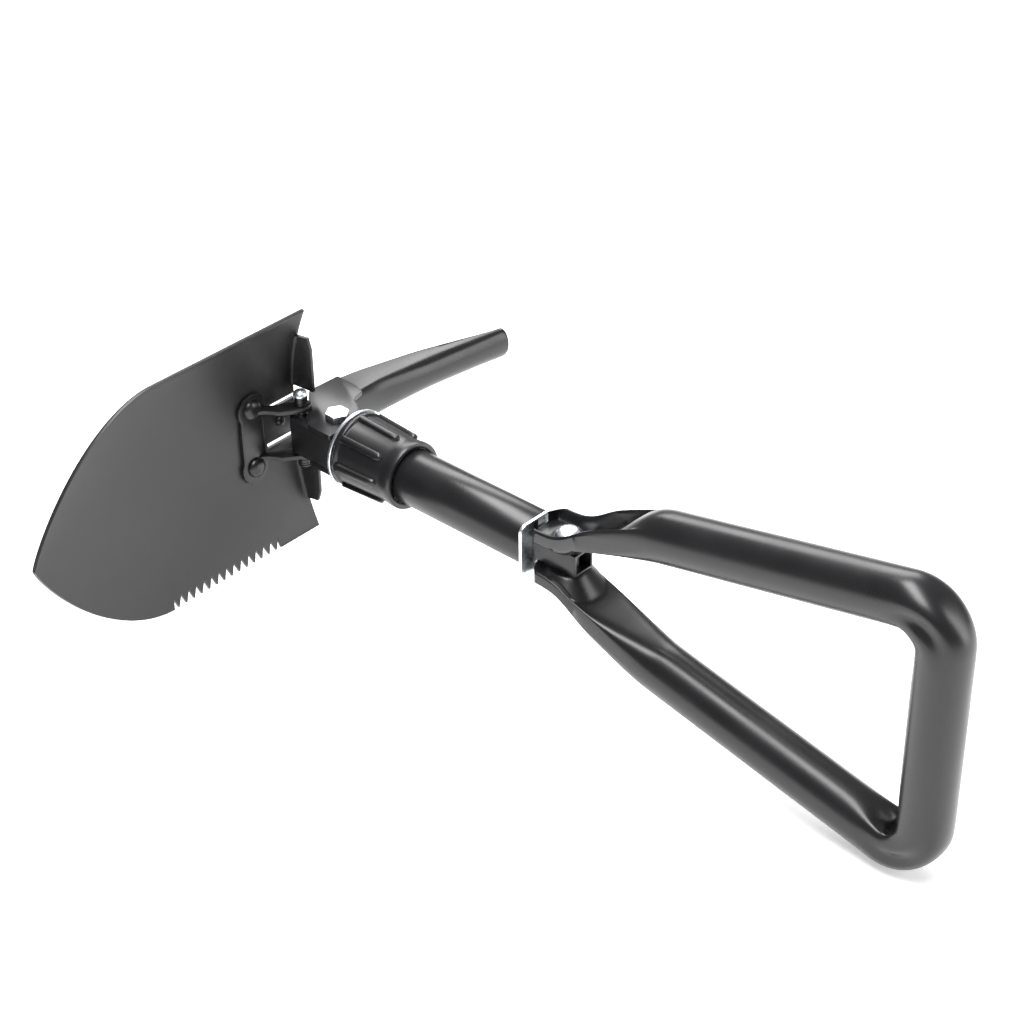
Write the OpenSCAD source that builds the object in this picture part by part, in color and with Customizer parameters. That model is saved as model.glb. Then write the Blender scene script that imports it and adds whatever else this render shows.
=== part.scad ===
// Folding camp shovel with a pick, a saw edge and a D-handle.
// Working frame: X runs along the shaft from the head to the handle, Y is the
// way the pick points, and Z is parallel to all three folding pins.

/* [Shaft] */
// Outside diameter of the round shaft tube
tube_d = 23; // [22.6:0.1:23.4]
// Wall of the round shaft tube
tube_wall = 1.2; // [1:0.1:1.4]
// Place of the tube's rear end along the shaft
tube_rear_x = 116.2; // [110:0.1:116.2]
// Side of the square rear plate
plate_side = 24; // [23:0.5:26]
// Thickness of the rear plate
plate_t = 1.5; // [1.2:0.1:1.8]
// Width of the square core tube
core_w = 10.6; // [10:0.1:10.8]
// Height of the square core tube
core_h = 9.8; // [9.2:0.1:9.8]
// Wall of the core tube
core_wall = 1; // [0.8:0.1:1.2]
// Place of the core tube's open rear end
core_rear_x = 139; // [137:0.5:141]

/* [Head] */
// Place of the pick's pivot along the shaft
pick_pivot_x = 4.5; // [4:0.1:4.5]
// Place of the blade's pivot along the shaft
blade_pivot_x = -12.3; // [-12.5:0.1:-12.1]
// Sideways offset of the blade's pivot
blade_pivot_y = -4.7; // [-4.9:0.1:-4.5]
// Half height of the head lug between the pick's cheeks
lug_half_h = 7.9; // [7.6:0.1:7.9]

/* [Collar] */
// Front face of the locking collar
collar_front_x = 16.4; // [16.2:0.1:17]
// Rear face of the locking collar
collar_rear_x = 48; // [46:0.5:50]
// Radius of the collar over its ribs at the front
collar_rib_r = 16.7; // [16.2:0.1:16.8]
// Number of grip ribs
rib_count = 8; // [6:1:10]
// Thickness of the front washer
washer_t = 1.4; // [1:0.1:1.5]

/* [Blade] */
// Width of the blade
blade_w = 106.6; // [100:1:112]
// Length from the shoulder line to the tip
blade_len = 146.5; // [140:1:150]
// Thickness of the blade's sheet
blade_t = 1.5; // [1.2:0.1:1.8]
// Depth of the dish behind the shoulders
dish = 10.5; // [10.3:0.1:11]
// Number of saw teeth
tooth_count = 14; // [10:1:16]
// Height of the saw teeth
tooth_h = 4.3; // [3:0.1:5]

/* [Pick] */
// Place of the pick's tip
pick_tip_y = 104.5; // [100:0.5:110]
// Half height of the channel at the tip
pick_tip_h = 7; // [6:0.5:7.5]
// Thickness of the pick's sheet
pick_t = 2; // [1.8:0.1:2.2]

/* [Handle] */
// Diameter of the D-handle's tube
grip_d = 20.8; // [20:0.1:21.2]
// Wall of the D-handle's tube
grip_wall = 1.4; // [1.2:0.1:1.6]
// Centre line of the grip along the shaft
grip_x = 299.3; // [290:0.5:305]
// Place of the handle's rivet along the shaft
rivet_x = 131.5; // [131.3:0.1:131.7]
// Half spread of the two arms where they turn round
arm_z = 31.3; // [30:0.1:33]
// Outward slope of each arm
arm_slope = 0.214; // [0.18:0.002:0.22]

/* [Hidden] */

black = "#1c1c1f";
zinc = "#c8d2d8";
dark_steel = "#4a4a4d";

// Round surfaces that other pieces run on stay true curves above 12 sides
$fn = 64;
eps = 0.02;
running_gap = 0.05;

tube_r = tube_d / 2;
tube_in_r = tube_r - tube_wall;
plate_x = tube_rear_x;
plate_corner_r = 3;

// Head lug
lug_near_y = -11.5;
lug_far_y = 6.5;
lug_back_x = 13;
lug_nose_r = 4.9;
lug_chamfer_x = -6;
shank_side = 13;
shank_end_x = 34;
pocket_x = 20;
core_front_x = 20.5;
pick_shank_r = 3;
pin_r = 2;
core_pin_x = 27;
core_pin_r = 1.5;

// Bolts and rivets
hex_af = 9;
hex_head_h = 3.1;
cheek_out_z = 10;
cheek_in_z = cheek_out_z - pick_t;
ear_in_z = 10.2;
ear_out_z = 12.2;
bush_r = 2.9;
bush_top_z = 16.3;
pin_head_r = 3.1;
pin_head_h = 2.9;
rivet_r = 3;
rivet_head_r = 5.2;
rivet_head_h = 3.2;
seat_z = 7.6;

// Collar and its thread
bore_r = 13.05;
thread_r = 13;
sleeve_front_x = 23.5;
sleeve_rear_x = 43;
lip_x = 45.2;
lip_in_r = 12.3;
lip_r = 14.2;
washer_in_r = 13.6;
rib_w = 3.4;

// Blade: the sheet's middle surface is blade_x at its rim and sinks by dish in the middle
blade_x = -14.6;
shoulder_y = 2.3;
blade_tip_y = shoulder_y - blade_len;
half_w = blade_w / 2;
kink_y = -80;
slot_z = [7.7, 12.8];
slot_end_y = -17;
saw_start_y = -20;
saw_end_y = -79;
saw_step = (saw_start_y - saw_end_y) / tooth_count;
step_z = [15, 40];
step_front_x = -10.6;
step_lean = 0.25;

// Bracket and its rivets on the blade
bracket_t = 1.6;
bracket_lift = blade_t / 2 + bracket_t / 2 + 0.02;
lobe_y = -23.4;
lobe_z = 14.2;
lobe_r = 7.4;
ear_tip_r = 4.4;
blade_rivet_r = 2.5;
blade_rivet_head_r = 4.4;
stud_at = [-6.5, 0];
blade_rivet_back_h = 1.2;

// Handle: straight arms, a tight bend at each corner, and a straight grip
grip_r = grip_d / 2;
bend_r = 13;
arm_x = 184;
leg_end_x = 119.4;
leg_z = 9;
leg_floor = -1.2;
leg_under = 3.6;
leg_end_r = 6;
seat_r = 7.8;
seat_reach = 16;
arm_angle = atan(arm_slope);
corner_z = arm_z + arm_slope * (grip_x - arm_x);
tangent = bend_r * tan((90 + arm_angle) / 2);
bend_c = [grip_x - bend_r, corner_z - tangent];
hollow_x = 178;

// The row's origin: the middle of the underside of the whole shovel
box_x = [sheet_x(lobe_y, lobe_z) - blade_t / 2 - 0.4 - blade_rivet_back_h, grip_x + grip_r];
box_y = [blade_tip_y, pick_tip_y];
box_z = bend_c[1] + bend_r + grip_r;
origin = [(box_x[0] + box_x[1]) / 2, (box_y[0] + box_y[1]) / 2, -box_z];

function clamp01(u) = min(1, max(0, u));
function smooth(u) = let(c = clamp01(u)) c * c * (3 - 2 * c);
function mix(a, b, u) = a + (b - a) * u;
// Value of a broken line through points [place, value]
function along(points, at) = lookup(at, points);

module placed() {
    translate(-origin) children();
}

// A bar along Z between two heights, at a place in plan
module z_bar(at, r, z0, z1) {
    translate([at[0], at[1], z0]) cylinder(r = r, h = z1 - z0);
}

// A hexagon prism along Z
module z_hex(at, af, z0, z1) {
    translate([at[0], at[1], z0]) cylinder(r = af / 2 / cos(30), h = z1 - z0, $fn = 6);
}

// A domed head: a spherical cap of radius r and height h standing on z0
module z_dome(at, r, h, z0, up = 1) {
    ball = (r * r + h * h) / 2 / h;
    translate([at[0], at[1], z0]) mirror([0, 0, up < 0 ? 1 : 0])
        rotate_extrude() intersection() {
            translate([0, h - ball]) circle(r = ball);
            square([r, h]);
        }
}

pick_at = [pick_pivot_x, 0];
blade_at = [blade_pivot_x, blade_pivot_y];
rivet_at = [rivet_x, 0];

// ---- root: the core, the head lug and the fixed pins ----

module core_tube() {
    color(black) placed() difference() {
        translate([core_front_x, -core_w / 2, -core_h / 2])
            cube([core_rear_x - core_front_x, core_w, core_h]);
        translate([core_front_x - 1, -core_w / 2 + core_wall, -core_h / 2 + core_wall])
            cube([core_rear_x - core_front_x + 2, core_w - 2 * core_wall, core_h - 2 * core_wall]);
        z_bar(rivet_at, rivet_r + eps, -core_h, core_h);
        z_bar([core_pin_x, 0], core_pin_r + eps, -core_h, core_h);
    }
}

module head_lug() {
    color(black) placed() difference() {
        union() {
            translate([0, 0, -lug_half_h]) linear_extrude(2 * lug_half_h) polygon(
                [[blade_pivot_x, lug_near_y], [lug_back_x, lug_near_y], [lug_back_x, lug_far_y],
                 [lug_chamfer_x, lug_far_y], [blade_pivot_x, blade_pivot_y + lug_nose_r]]);
            z_bar(blade_at, lug_nose_r, -lug_half_h, lug_half_h);
            translate([lug_back_x - 1, -shank_side / 2, -shank_side / 2])
                cube([shank_end_x - lug_back_x + 1, shank_side, shank_side]);
        }
        z_bar(blade_at, pin_r + eps, -lug_half_h - 1, lug_half_h + 1);
        z_bar(pick_at, pick_shank_r + eps, -lug_half_h - 1, lug_half_h + 1);
        translate([pocket_x, -core_w / 2 - eps, -core_h / 2 - eps])
            cube([shank_end_x, core_w + 2 * eps, core_h + 2 * eps]);
        z_bar([core_pin_x, 0], core_pin_r + eps, -shank_side, shank_side);
    }
}

module core_pin() {
    color(dark_steel) placed()
        z_bar([core_pin_x, 0], core_pin_r, -shank_side / 2, shank_side / 2);
}

module pick_bolt() {
    color(zinc) placed() union() {
        z_bar(pick_at, pick_shank_r, -cheek_out_z - 6.5, cheek_out_z + 0.5);
        z_hex(pick_at, hex_af, cheek_out_z + running_gap, cheek_out_z + running_gap + hex_head_h);
    }
}

module pick_nut_washer() {
    color(zinc) placed() difference() {
        z_bar(pick_at, 5.4, -cheek_out_z - 1.05, -cheek_out_z - running_gap);
        z_bar(pick_at, pick_shank_r + eps, -cheek_out_z - 2, -cheek_out_z + 1);
    }
}

module pick_nut() {
    color(zinc) placed() difference() {
        z_hex(pick_at, hex_af, -cheek_out_z - 5, -cheek_out_z - 1.1);
        z_bar(pick_at, pick_shank_r + eps, -cheek_out_z - 6, -cheek_out_z);
    }
}

module blade_pivot_pin() {
    color(zinc) placed() union() {
        z_bar(blade_at, pin_r, -bush_top_z - 1, bush_top_z + 1);
        z_dome(blade_at, pin_head_r, pin_head_h, bush_top_z + 0.02);
        z_dome(blade_at, pin_head_r, pin_head_h, -bush_top_z - 0.02, -1);
    }
}

module blade_pivot_bushes() {
    color(black) placed() for (side = [-1, 1]) difference() {
        z_bar(blade_at, bush_r, side > 0 ? ear_out_z + running_gap : -bush_top_z,
              side > 0 ? bush_top_z : -ear_out_z - running_gap);
        z_bar(blade_at, pin_r + eps, -bush_top_z - 1, bush_top_z + 1);
    }
}

module handle_rivet() {
    color(zinc) placed() union() {
        z_bar(rivet_at, rivet_r, -seat_z - 1, seat_z + 1);
        z_dome(rivet_at, rivet_head_r, rivet_head_h, seat_z + running_gap);
        z_dome(rivet_at, rivet_head_r, rivet_head_h, -seat_z - running_gap, -1);
    }
}

module handle_spacer() {
    inner_half = core_h / 2 - core_wall - eps;
    color(dark_steel) placed() difference() {
        z_bar(rivet_at, rivet_r + 1.1, -inner_half, inner_half);
        z_bar(rivet_at, rivet_r + eps, -core_h, core_h);
    }
}

// ---- blade ----

// Half width of the blade, straight down to the kink and then round to the point
function rim_share(t) = pow(max(0.002, 1 - pow(t, 1.8)), 0.85);
function rim_half(y) = half_w * rim_share(clamp01((y - kink_y) / (blade_tip_y - kink_y)));

// Height field of the blade's middle surface: flat-bottomed across, and rising to the tip
function sheet_x(y, z) =
    blade_x - dish * (1 - pow(clamp01(abs(y - shoulder_y) / blade_len), 2))
            * (1 - pow(min(1.1, abs(z) / rim_half(y)), 2.4));

// One of the two slots that let the pick's cheeks through the shoulder, as [y, z] going up
function slot_edge(side) = let(a = side > 0 ? slot_z[0] : -slot_z[1],
                               b = side > 0 ? slot_z[1] : -slot_z[0])
    [[shoulder_y, a - 1], [shoulder_y - 1, a], [slot_end_y, a],
     [slot_end_y, b], [shoulder_y - 1, b], [shoulder_y, b + 1]];

// Outline of the blade as [y, z]; the saw runs along the low edge
function rim(u) = let(t = sin(u * 90))
    [mix(kink_y, blade_tip_y, t), half_w * rim_share(t)];
outline = concat(
    [[shoulder_y, half_w - 2], [shoulder_y - 2, half_w]],
    [for (i = [0:12]) rim(i / 12)],
    [for (i = [11:-1:0]) let(p = rim(i / 12)) [p[0], -p[1]]],
    [for (i = [0:tooth_count - 1]) each
        [[saw_end_y + i * saw_step, -half_w + tooth_h],
         [saw_end_y + (i + 0.35) * saw_step, -half_w],
         [saw_end_y + (i + 0.95) * saw_step, -half_w + tooth_h]]],
    [[saw_start_y, -half_w + tooth_h], [saw_start_y + 0.5, -half_w],
     [shoulder_y - 1, -half_w], [shoulder_y, -half_w + 1.5]],
    slot_edge(-1), [for (p = slot_edge(1)) p]);

// A closed slab of sheet that follows the dish, lifted off it by lift, one grid for each face
module dished_slab(thick = blade_t, lift = 0, ny = 16, nz = 16) {
    span = [blade_tip_y - 1, shoulder_y + 1];
    half = half_w + 1;
    row = nz + 1;
    face = (ny + 1) * row;
    points = [for (s = [-1, 1]) for (i = [0:ny]) for (j = [0:nz])
        let(y = mix(span[0], span[1], i / ny), z = mix(-half, half, j / nz))
        [sheet_x(y, z) + lift + s * thick / 2, y, z]];
    quads = concat(
        [for (i = [0:ny - 1]) for (j = [0:nz - 1]) let(k = i * row + j)
            [k, k + 1, k + row + 1, k + row]],
        [for (i = [0:ny - 1]) for (j = [0:nz - 1]) let(k = face + i * row + j)
            [k + row, k + row + 1, k + 1, k]],
        [for (i = [0:ny - 1]) let(k = i * row) [k, k + row, face + k + row, face + k]],
        [for (i = [0:ny - 1]) let(k = i * row + nz) [k + row, k, face + k, face + k + row]],
        [for (j = [0:nz - 1]) [j + 1, j, face + j, face + j + 1]],
        [for (j = [0:nz - 1]) let(k = ny * row + j) [k, k + 1, face + k + 1, face + k]]);
    triangles = [for (q = quads) each [[q[2], q[1], q[0]], [q[3], q[2], q[0]]]];
    polyhedron(points = points, faces = triangles, convexity = 6);
}

// Foot step: the shoulder folded forward, with a clipped outer corner
module foot_step(side) {
    wing = [[sheet_x(shoulder_y, step_z[0]), step_z[0]], [step_front_x - 1, step_z[0]],
            [step_front_x, step_z[1] - 2], [step_front_x - 1.5, step_z[1]],
            [sheet_x(shoulder_y, step_z[1]), step_z[1]]];
    // sheared so that its free edge leans up towards the pick
    multmatrix([[1, 0, 0, 0], [step_lean, 1, 0, -step_lean * blade_x], [0, 0, 1, 0]])
        translate([0, shoulder_y - 1.4, 0]) rotate([90, 0, 0]) mirror([0, 0, 1])
            linear_extrude(blade_t) polygon([for (p = wing) [p[0], side * p[1]]]);
}

module blade() {
    color(black) placed() difference() {
        union() {
            intersection() {
                dished_slab();
                rotate([90, 0, 90]) translate([0, 0, blade_x - dish - 5])
                    linear_extrude(dish + 12) polygon(outline);
            }
            foot_step(1);
            foot_step(-1);
        }
        for (side = [-1, 1]) translate([blade_x - dish - 5, lobe_y, side * lobe_z])
            rotate([0, 90, 0]) cylinder(r = blade_rivet_r + eps, h = 20);
        translate([blade_x - dish - 5, stud_at[0], stud_at[1]])
            rotate([0, 90, 0]) cylinder(r = 1.2 + eps, h = 20);
    }
}

module blade_bracket() {
    root_x = sheet_x(lobe_y, lobe_z) + bracket_lift;
    ear_plan = [[root_x, lobe_y - 2], [root_x + 2.6, -18.4], [-14.6, -15.2],
                [blade_pivot_x + 3.4, blade_pivot_y - 2.8],
                [blade_pivot_x - 1.5, blade_pivot_y + ear_tip_r - 0.3], [root_x, slot_end_y + 2]];
    color(black) placed() difference() {
        union() {
            // plate with a round lobe at each end and a straight waist, laid on the dish
            intersection() {
                dished_slab(bracket_t, bracket_lift);
                rotate([90, 0, 90]) translate([0, 0, root_x - 5]) linear_extrude(20) union() {
                    for (side = [-1, 1]) translate([lobe_y, side * lobe_z]) circle(r = lobe_r);
                    translate([lobe_y - lobe_r + 0.8, -lobe_z])
                        square([slot_end_y - 0.4 - lobe_y + lobe_r - 0.8, 2 * lobe_z]);
                }
            }
            for (side = [-1, 1]) translate([0, 0, side > 0 ? ear_in_z : -ear_out_z])
                linear_extrude(ear_out_z - ear_in_z) union() {
                    polygon(ear_plan);
                    translate(blade_at) circle(r = ear_tip_r);
                }
        }
        z_bar(blade_at, pin_r + running_gap, -ear_out_z - 1, ear_out_z + 1);
        for (side = [-1, 1]) translate([root_x - 5, lobe_y, side * lobe_z]) rotate([0, 90, 0]) {
            cylinder(r = blade_rivet_r + eps, h = 10);
            // flat seat under the rivet's head
            translate([0, 0, 5 + bracket_t / 2 + 0.1]) cylinder(r = blade_rivet_head_r + 0.3, h = 5);
        }
    }
}

// One rivet lies along X: a shank between two low domes
module blade_rivets() {
    front = sheet_x(lobe_y, lobe_z) + bracket_lift + bracket_t / 2 + 0.12;
    back = sheet_x(lobe_y, lobe_z) - blade_t / 2 - 0.4;
    color(black) placed() for (side = [-1, 1]) translate([0, lobe_y, side * lobe_z])
        rotate([0, 90, 0]) union() {
            z_bar([0, 0], blade_rivet_r, back - 0.5, front + 0.5);
            z_dome([0, 0], blade_rivet_head_r, 2.4, front);
            z_dome([0, 0], 4, blade_rivet_back_h, back, -1);
        }
}

// Small domed stud on the tongue between the slots
module stop_stud() {
    front = sheet_x(stud_at[0], 0) + blade_t / 2 + 0.03;
    color(black) placed() translate([0, stud_at[0], stud_at[1]]) rotate([0, 90, 0]) union() {
        z_bar([0, 0], 1.2, front - blade_t - 0.6, front + 0.5);
        z_dome([0, 0], 2.4, 1.8, front);
    }
}

// ---- pick ----

// Front ridge, back edge and half height of the channel along the pick
pick_front = [[12, -1.5], [20, -3.2], [33, -4.3], [50, -2.3], [75, 1], [pick_tip_y, 5.2]];
pick_back = [[12, -20.6], [34, -19.6], [63, -13.2], [82, -6.6], [pick_tip_y, 1.2]];
pick_height = [[12, 9.9], [18, 9.5], [28, 8.5], [40, 8], [60, 7.5], [pick_tip_y, pick_tip_h]];
function pick_half(y) = along(pick_height, y);

// One closed cross-section [x, z]: out along the top, round the front, back, and inside again
function pick_section(y, steps = 8) =
    let(h = pick_half(y), f = along(pick_front, y), b = along(pick_back, y),
        e = min(h, f - b - 0.2), c = f - e, t = pick_t,
        ei = max(0.3, e - t), ci = max(b + 0.1, f - t - ei))
    concat([[b, h]],
           [for (i = [0:steps]) let(a = 90 - 180 * i / steps) [c + e * cos(a), h * sin(a)]],
           [[b, -h], [b, -h + t]],
           [for (i = [0:steps]) let(a = -90 + 180 * i / steps)
               [ci + ei * cos(a), (h - t) * sin(a)]],
           [[b, h - t]]);

module pick_channel(y0 = 12, step = 6) {
    ys = [for (y = [y0:step:pick_tip_y - 1]) y, pick_tip_y - 1.5, pick_tip_y];
    rings = [for (y = ys) pick_section(y)];
    n = len(rings[0]);
    m = len(ys);
    // the last ring is drawn in a little so that the tip has a blunt rounded edge
    points = [for (i = [0:m - 1]) let(k = i == m - 1 ? 0.86 : 1) for (p = rings[i])
        [p[0], ys[i], p[1] * k]];
    half = n / 2;
    sides = [for (i = [0:m - 2]) for (j = [0:n - 1]) let(a = i * n + j, b = i * n + (j + 1) % n)
        each [[a, a + n, b], [b, a + n, b + n]]];
    cap = [for (j = [0:half - 2]) let(q = n - 1 - j)
        each [[j, j + 1, q - 1], [j, q - 1, q]]];
    end = [for (f = cap) [f[0] + (m - 1) * n, f[2] + (m - 1) * n, f[1] + (m - 1) * n]];
    polyhedron(points = points, faces = concat(sides, cap, end), convexity = 8);
}

cheek_plan = [[-1, -12], [12.3, -12], [12.3, -5], [7.9, 9.4], [3.5, 13.6], [-1.6, 15],
              [-3.4, 24], [-20.7, 24], [-20.6, 7.6]];

module pick() {
    color(black) placed() difference() {
        union() {
            pick_channel();
            for (side = [-1, 1]) translate([0, 0, side > 0 ? cheek_in_z : -cheek_out_z])
                linear_extrude(pick_t) union() {
                    polygon(cheek_plan);
                    translate(pick_at) circle(r = 10);
                }
        }
        z_bar(pick_at, pick_shank_r + running_gap, -cheek_out_z - 1, cheek_out_z + 1);
    }
}

// ---- D-handle ----

function arm_line(x) = arm_z + arm_slope * (x - arm_x);
function leg_line(x) = mix(leg_z, arm_line(x), smooth((x - 122) / 58));
// Height of the rolled rims, and how far the outer and inner sides have become round
function leg_rim(x) = 3.5 + 4 * smooth((x - 130) / 24);
function round_top(x) = smooth((x - 141) / 24);
function round_under(x) = smooth((x - 126) / 52);

// Stations of the upper half as [x, z, path angle]
leg_xs = concat([leg_end_x, leg_end_x + 1, leg_end_x + 2.3], [for (x = [leg_end_x + 4:2.6:152]) x],
    [for (x = [154:4:178]) x], [184, 190]);
upper = concat(
    [for (x = leg_xs) [x, leg_line(x), atan(leg_line(x + 0.5) - leg_line(x - 0.5))]],
    [for (i = [0:8]) let(a = mix(90 + arm_angle, 0, i / 8))
        [bend_c[0] + bend_r * cos(a), bend_c[1] + bend_r * sin(a), a - 90]]);
whole = concat(upper, [for (i = [len(upper) - 1:-1:0]) let(s = upper[i])
    [s[0], -s[1], -180 - s[2]]]);

// The leg's end is round in plan, so that it swings past the rear plate
function end_share(x) = 1 - (leg_end_r - sqrt(pow(leg_end_r, 2)
    - pow(max(0, leg_end_x + leg_end_r - x), 2))) / grip_r;

// The under side is pressed in round the rivet until it meets the core
function pressed(p) =
    let(reach = norm([p[0] - rivet_x, p[1]]), seat = core_h / 2 + 0.1 + 1.25 * max(0, reach - seat_r))
    reach < seat_reach ? [p[0], p[1], sign(p[2]) * min(abs(p[2]), seat)] : p;

// One point of a section: a trough with rolled rims at the leg's end, a circle further on
function section_at(a, x, less) =
    let(c = cos(a), s = sin(a), r = grip_r - less,
        wide = r * mix(sign(c) * pow(abs(c), 0.45), c, min(round_top(x), round_under(x))),
        top = mix(leg_floor + (leg_rim(x) - leg_floor) * pow(abs(c), 3), r * s, round_top(x)),
        under = mix(-leg_under * pow(abs(s), 0.4), r * s, round_under(x)))
    [wide, s >= -0.001 ? top : under];

// Sweep the section along the stations
module swept(stations, less = 0, sides = 28) {
    m = len(stations);
    points = [for (s = stations) for (i = [0:sides - 1])
        let(q = section_at(360 * i / sides, s[0], less),
            p = [s[0] - q[1] * sin(s[2]), q[0] * end_share(s[0]), s[1] + q[1] * cos(s[2])])
        i > sides / 2 ? pressed(p) : p];
    walls = [for (i = [0:m - 2]) for (j = [0:sides - 1])
        let(a = i * sides + j, b = i * sides + (j + 1) % sides)
        each [[b, a, a + sides], [b + sides, b, a + sides]]];
    first = [for (j = [1:sides - 2]) [0, j, j + 1]];
    last = [for (j = [1:sides - 2]) let(k = (m - 1) * sides) [k, k + j + 1, k + j]];
    polyhedron(points = points, faces = concat(walls, first, last), convexity = 10);
}

module handle() {
    color(black) placed() difference() {
        swept(whole);
        swept([for (s = whole) if (s[0] > hollow_x) s], grip_wall);
        for (side = [0, 1]) mirror([0, 0, side])
            translate([rivet_x, 0, seat_z]) cylinder(r = 6.3, h = 9);
        z_bar(rivet_at, rivet_r + running_gap, -box_z, box_z);
    }
}

// ---- sliding outer tube ----

module x_ring(x0, x1, outer, inner) {
    translate([x0, 0, 0]) rotate([0, 90, 0]) difference() {
        cylinder(r = outer, h = x1 - x0);
        translate([0, 0, -1]) cylinder(r = inner, h = x1 - x0 + 2);
    }
}

module shaft_tube() {
    color(black) placed() x_ring(sleeve_front_x, tube_rear_x, tube_r, tube_in_r);
}

module thread_sleeve() {
    color(zinc) placed() x_ring(sleeve_front_x, sleeve_rear_x, thread_r, tube_r + eps);
}

module guide_bush() {
    color(dark_steel) placed() difference() {
        translate([sleeve_front_x, 0, 0]) rotate([0, 90, 0]) cylinder(r = tube_in_r - eps, h = 6);
        translate([0, -shank_side / 2 - running_gap, -shank_side / 2 - running_gap])
            cube([60, shank_side + 2 * running_gap, shank_side + 2 * running_gap]);
    }
}

module rear_plate() {
    side = plate_side - 2 * plate_corner_r;
    color(zinc) placed() translate([plate_x, 0, 0]) rotate([90, 0, 90])
        linear_extrude(plate_t) difference() {
            union() {
                square([plate_side, side], center = true);
                square([side, plate_side], center = true);
                for (a = [-1, 1]) for (b = [-1, 1])
                    translate([a * side / 2, b * side / 2]) circle(r = plate_corner_r);
            }
            square([core_w + 2 * running_gap, core_h + 2 * running_gap], center = true);
        }
}

module front_washer() {
    color(zinc) placed()
        x_ring(collar_front_x - washer_t - running_gap, collar_front_x - running_gap,
               collar_rib_r, washer_in_r);
}

module collar_nut() {
    length = collar_rear_x - collar_front_x;
    color(black) placed() difference() {
        union() {
            translate([collar_front_x, 0, 0]) rotate([0, 90, 0])
                cylinder(r1 = 15.5, r2 = lip_r, h = length);
            // the ribs stop short of the rear lip
            for (i = [0:rib_count - 1]) rotate([i * 360 / rib_count, 0, 0])
                intersection() {
                    translate([collar_front_x, -rib_w / 2, 10]) cube([length - 7, rib_w, 8]);
                    translate([collar_front_x, 0, 0]) rotate([0, 90, 0])
                        cylinder(r1 = collar_rib_r, r2 = 15, h = length);
                }
        }
        translate([collar_front_x - 1, 0, 0]) rotate([0, 90, 0])
            cylinder(r = bore_r, h = lip_x - collar_front_x + 1);
        translate([lip_x - 1, 0, 0]) rotate([0, 90, 0]) cylinder(r = lip_in_r, h = 20);
    }
}

core_tube();
head_lug();
core_pin();
pick_bolt();
pick_nut();
pick_nut_washer();
blade_pivot_pin();
blade_pivot_bushes();
handle_rivet();
handle_spacer();
blade();
blade_bracket();
blade_rivets();
stop_stud();
pick();
handle();
shaft_tube();
thread_sleeve();
guide_bush();
rear_plate();
front_washer();
collar_nut();
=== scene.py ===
"""Looks of the folding camp shovel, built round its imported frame.

Every length below is in millimetres from the datum, the point on the shaft's axis that the
head is drawn from: +X runs to the handle, +Y is the way the pick points and +Z is along the
folding pins. place() turns such a point into the frame's metres.
"""

import math

import bmesh
import bpy
from mathutils import Matrix, Vector


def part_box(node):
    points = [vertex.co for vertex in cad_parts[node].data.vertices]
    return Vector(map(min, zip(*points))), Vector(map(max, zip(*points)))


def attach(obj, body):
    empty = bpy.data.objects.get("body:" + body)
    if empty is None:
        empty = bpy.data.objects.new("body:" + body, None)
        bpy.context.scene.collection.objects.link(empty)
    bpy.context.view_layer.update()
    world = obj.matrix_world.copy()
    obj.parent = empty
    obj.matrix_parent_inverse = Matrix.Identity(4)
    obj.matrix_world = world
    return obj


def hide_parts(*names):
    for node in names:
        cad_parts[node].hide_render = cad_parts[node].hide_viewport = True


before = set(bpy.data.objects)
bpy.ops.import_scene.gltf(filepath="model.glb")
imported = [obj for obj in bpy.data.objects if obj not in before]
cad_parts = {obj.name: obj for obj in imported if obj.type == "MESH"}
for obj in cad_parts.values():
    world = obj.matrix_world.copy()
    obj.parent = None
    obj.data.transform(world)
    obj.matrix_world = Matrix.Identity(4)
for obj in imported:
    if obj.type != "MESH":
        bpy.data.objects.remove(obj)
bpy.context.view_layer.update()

bl_info = {
    "name": "Folding camp shovel",
    "version": (1, 0, 0),
    "blender": (4, 5, 0),
    "location": "View3D > Sidebar > Shovel",
    "description": "Builds the visible pieces of a folding camp shovel round its frame",
    "category": "Object",
}

MM = 0.001
RIVET_X = 131.5
GRIP_R = 10.4
HALF_W = 53.3


def middle(node):
    """Middle of a node's box, in the frame's metres."""
    low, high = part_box(node)
    return (low + high) / 2


DATUM = Vector((middle("handle_rivet").x - RIVET_X * MM, middle("core_tube").y, middle("core_tube").z))


def place(x, y, z):
    """A point given in millimetres from the datum, in the frame's metres."""
    return DATUM + Vector((x, y, z)) * MM


def smooth(u):
    u = min(1.0, max(0.0, u))
    return u * u * (3 - 2 * u)


def mix(a, b, u):
    return a + (b - a) * u


def along(points, at):
    """Value of a broken line through (place, value) points."""
    if at <= points[0][0]:
        return points[0][1]
    for (p0, v0), (p1, v1) in zip(points, points[1:]):
        if at <= p1:
            return mix(v0, v1, (at - p0) / (p1 - p0))
    return points[-1][1]


def span(a, b, count):
    """count + 1 evenly spread values from a to b."""
    return [mix(a, b, i / count) for i in range(count + 1)]


def eased(points, at, reach=5.0):
    """The broken line with its corners rounded, by averaging over a short reach."""
    return sum(along(points, at + d) for d in span(-reach, reach, 8)) / 9


# ---- sizes and colours that a user would change ----


class SHOVEL_PG_handle(bpy.types.PropertyGroup):
    """The D-handle's tube."""

    dent: bpy.props.FloatProperty(
        name="Bend dent", description="How deep the inside of each bend is pressed in, in millimetres",
        default=8.5, min=0, max=10)
    crease: bpy.props.FloatProperty(
        name="Flank crease", description="Depth of the creases on the flanks of each bend, in millimetres",
        default=1.5, min=0, max=3)


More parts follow.
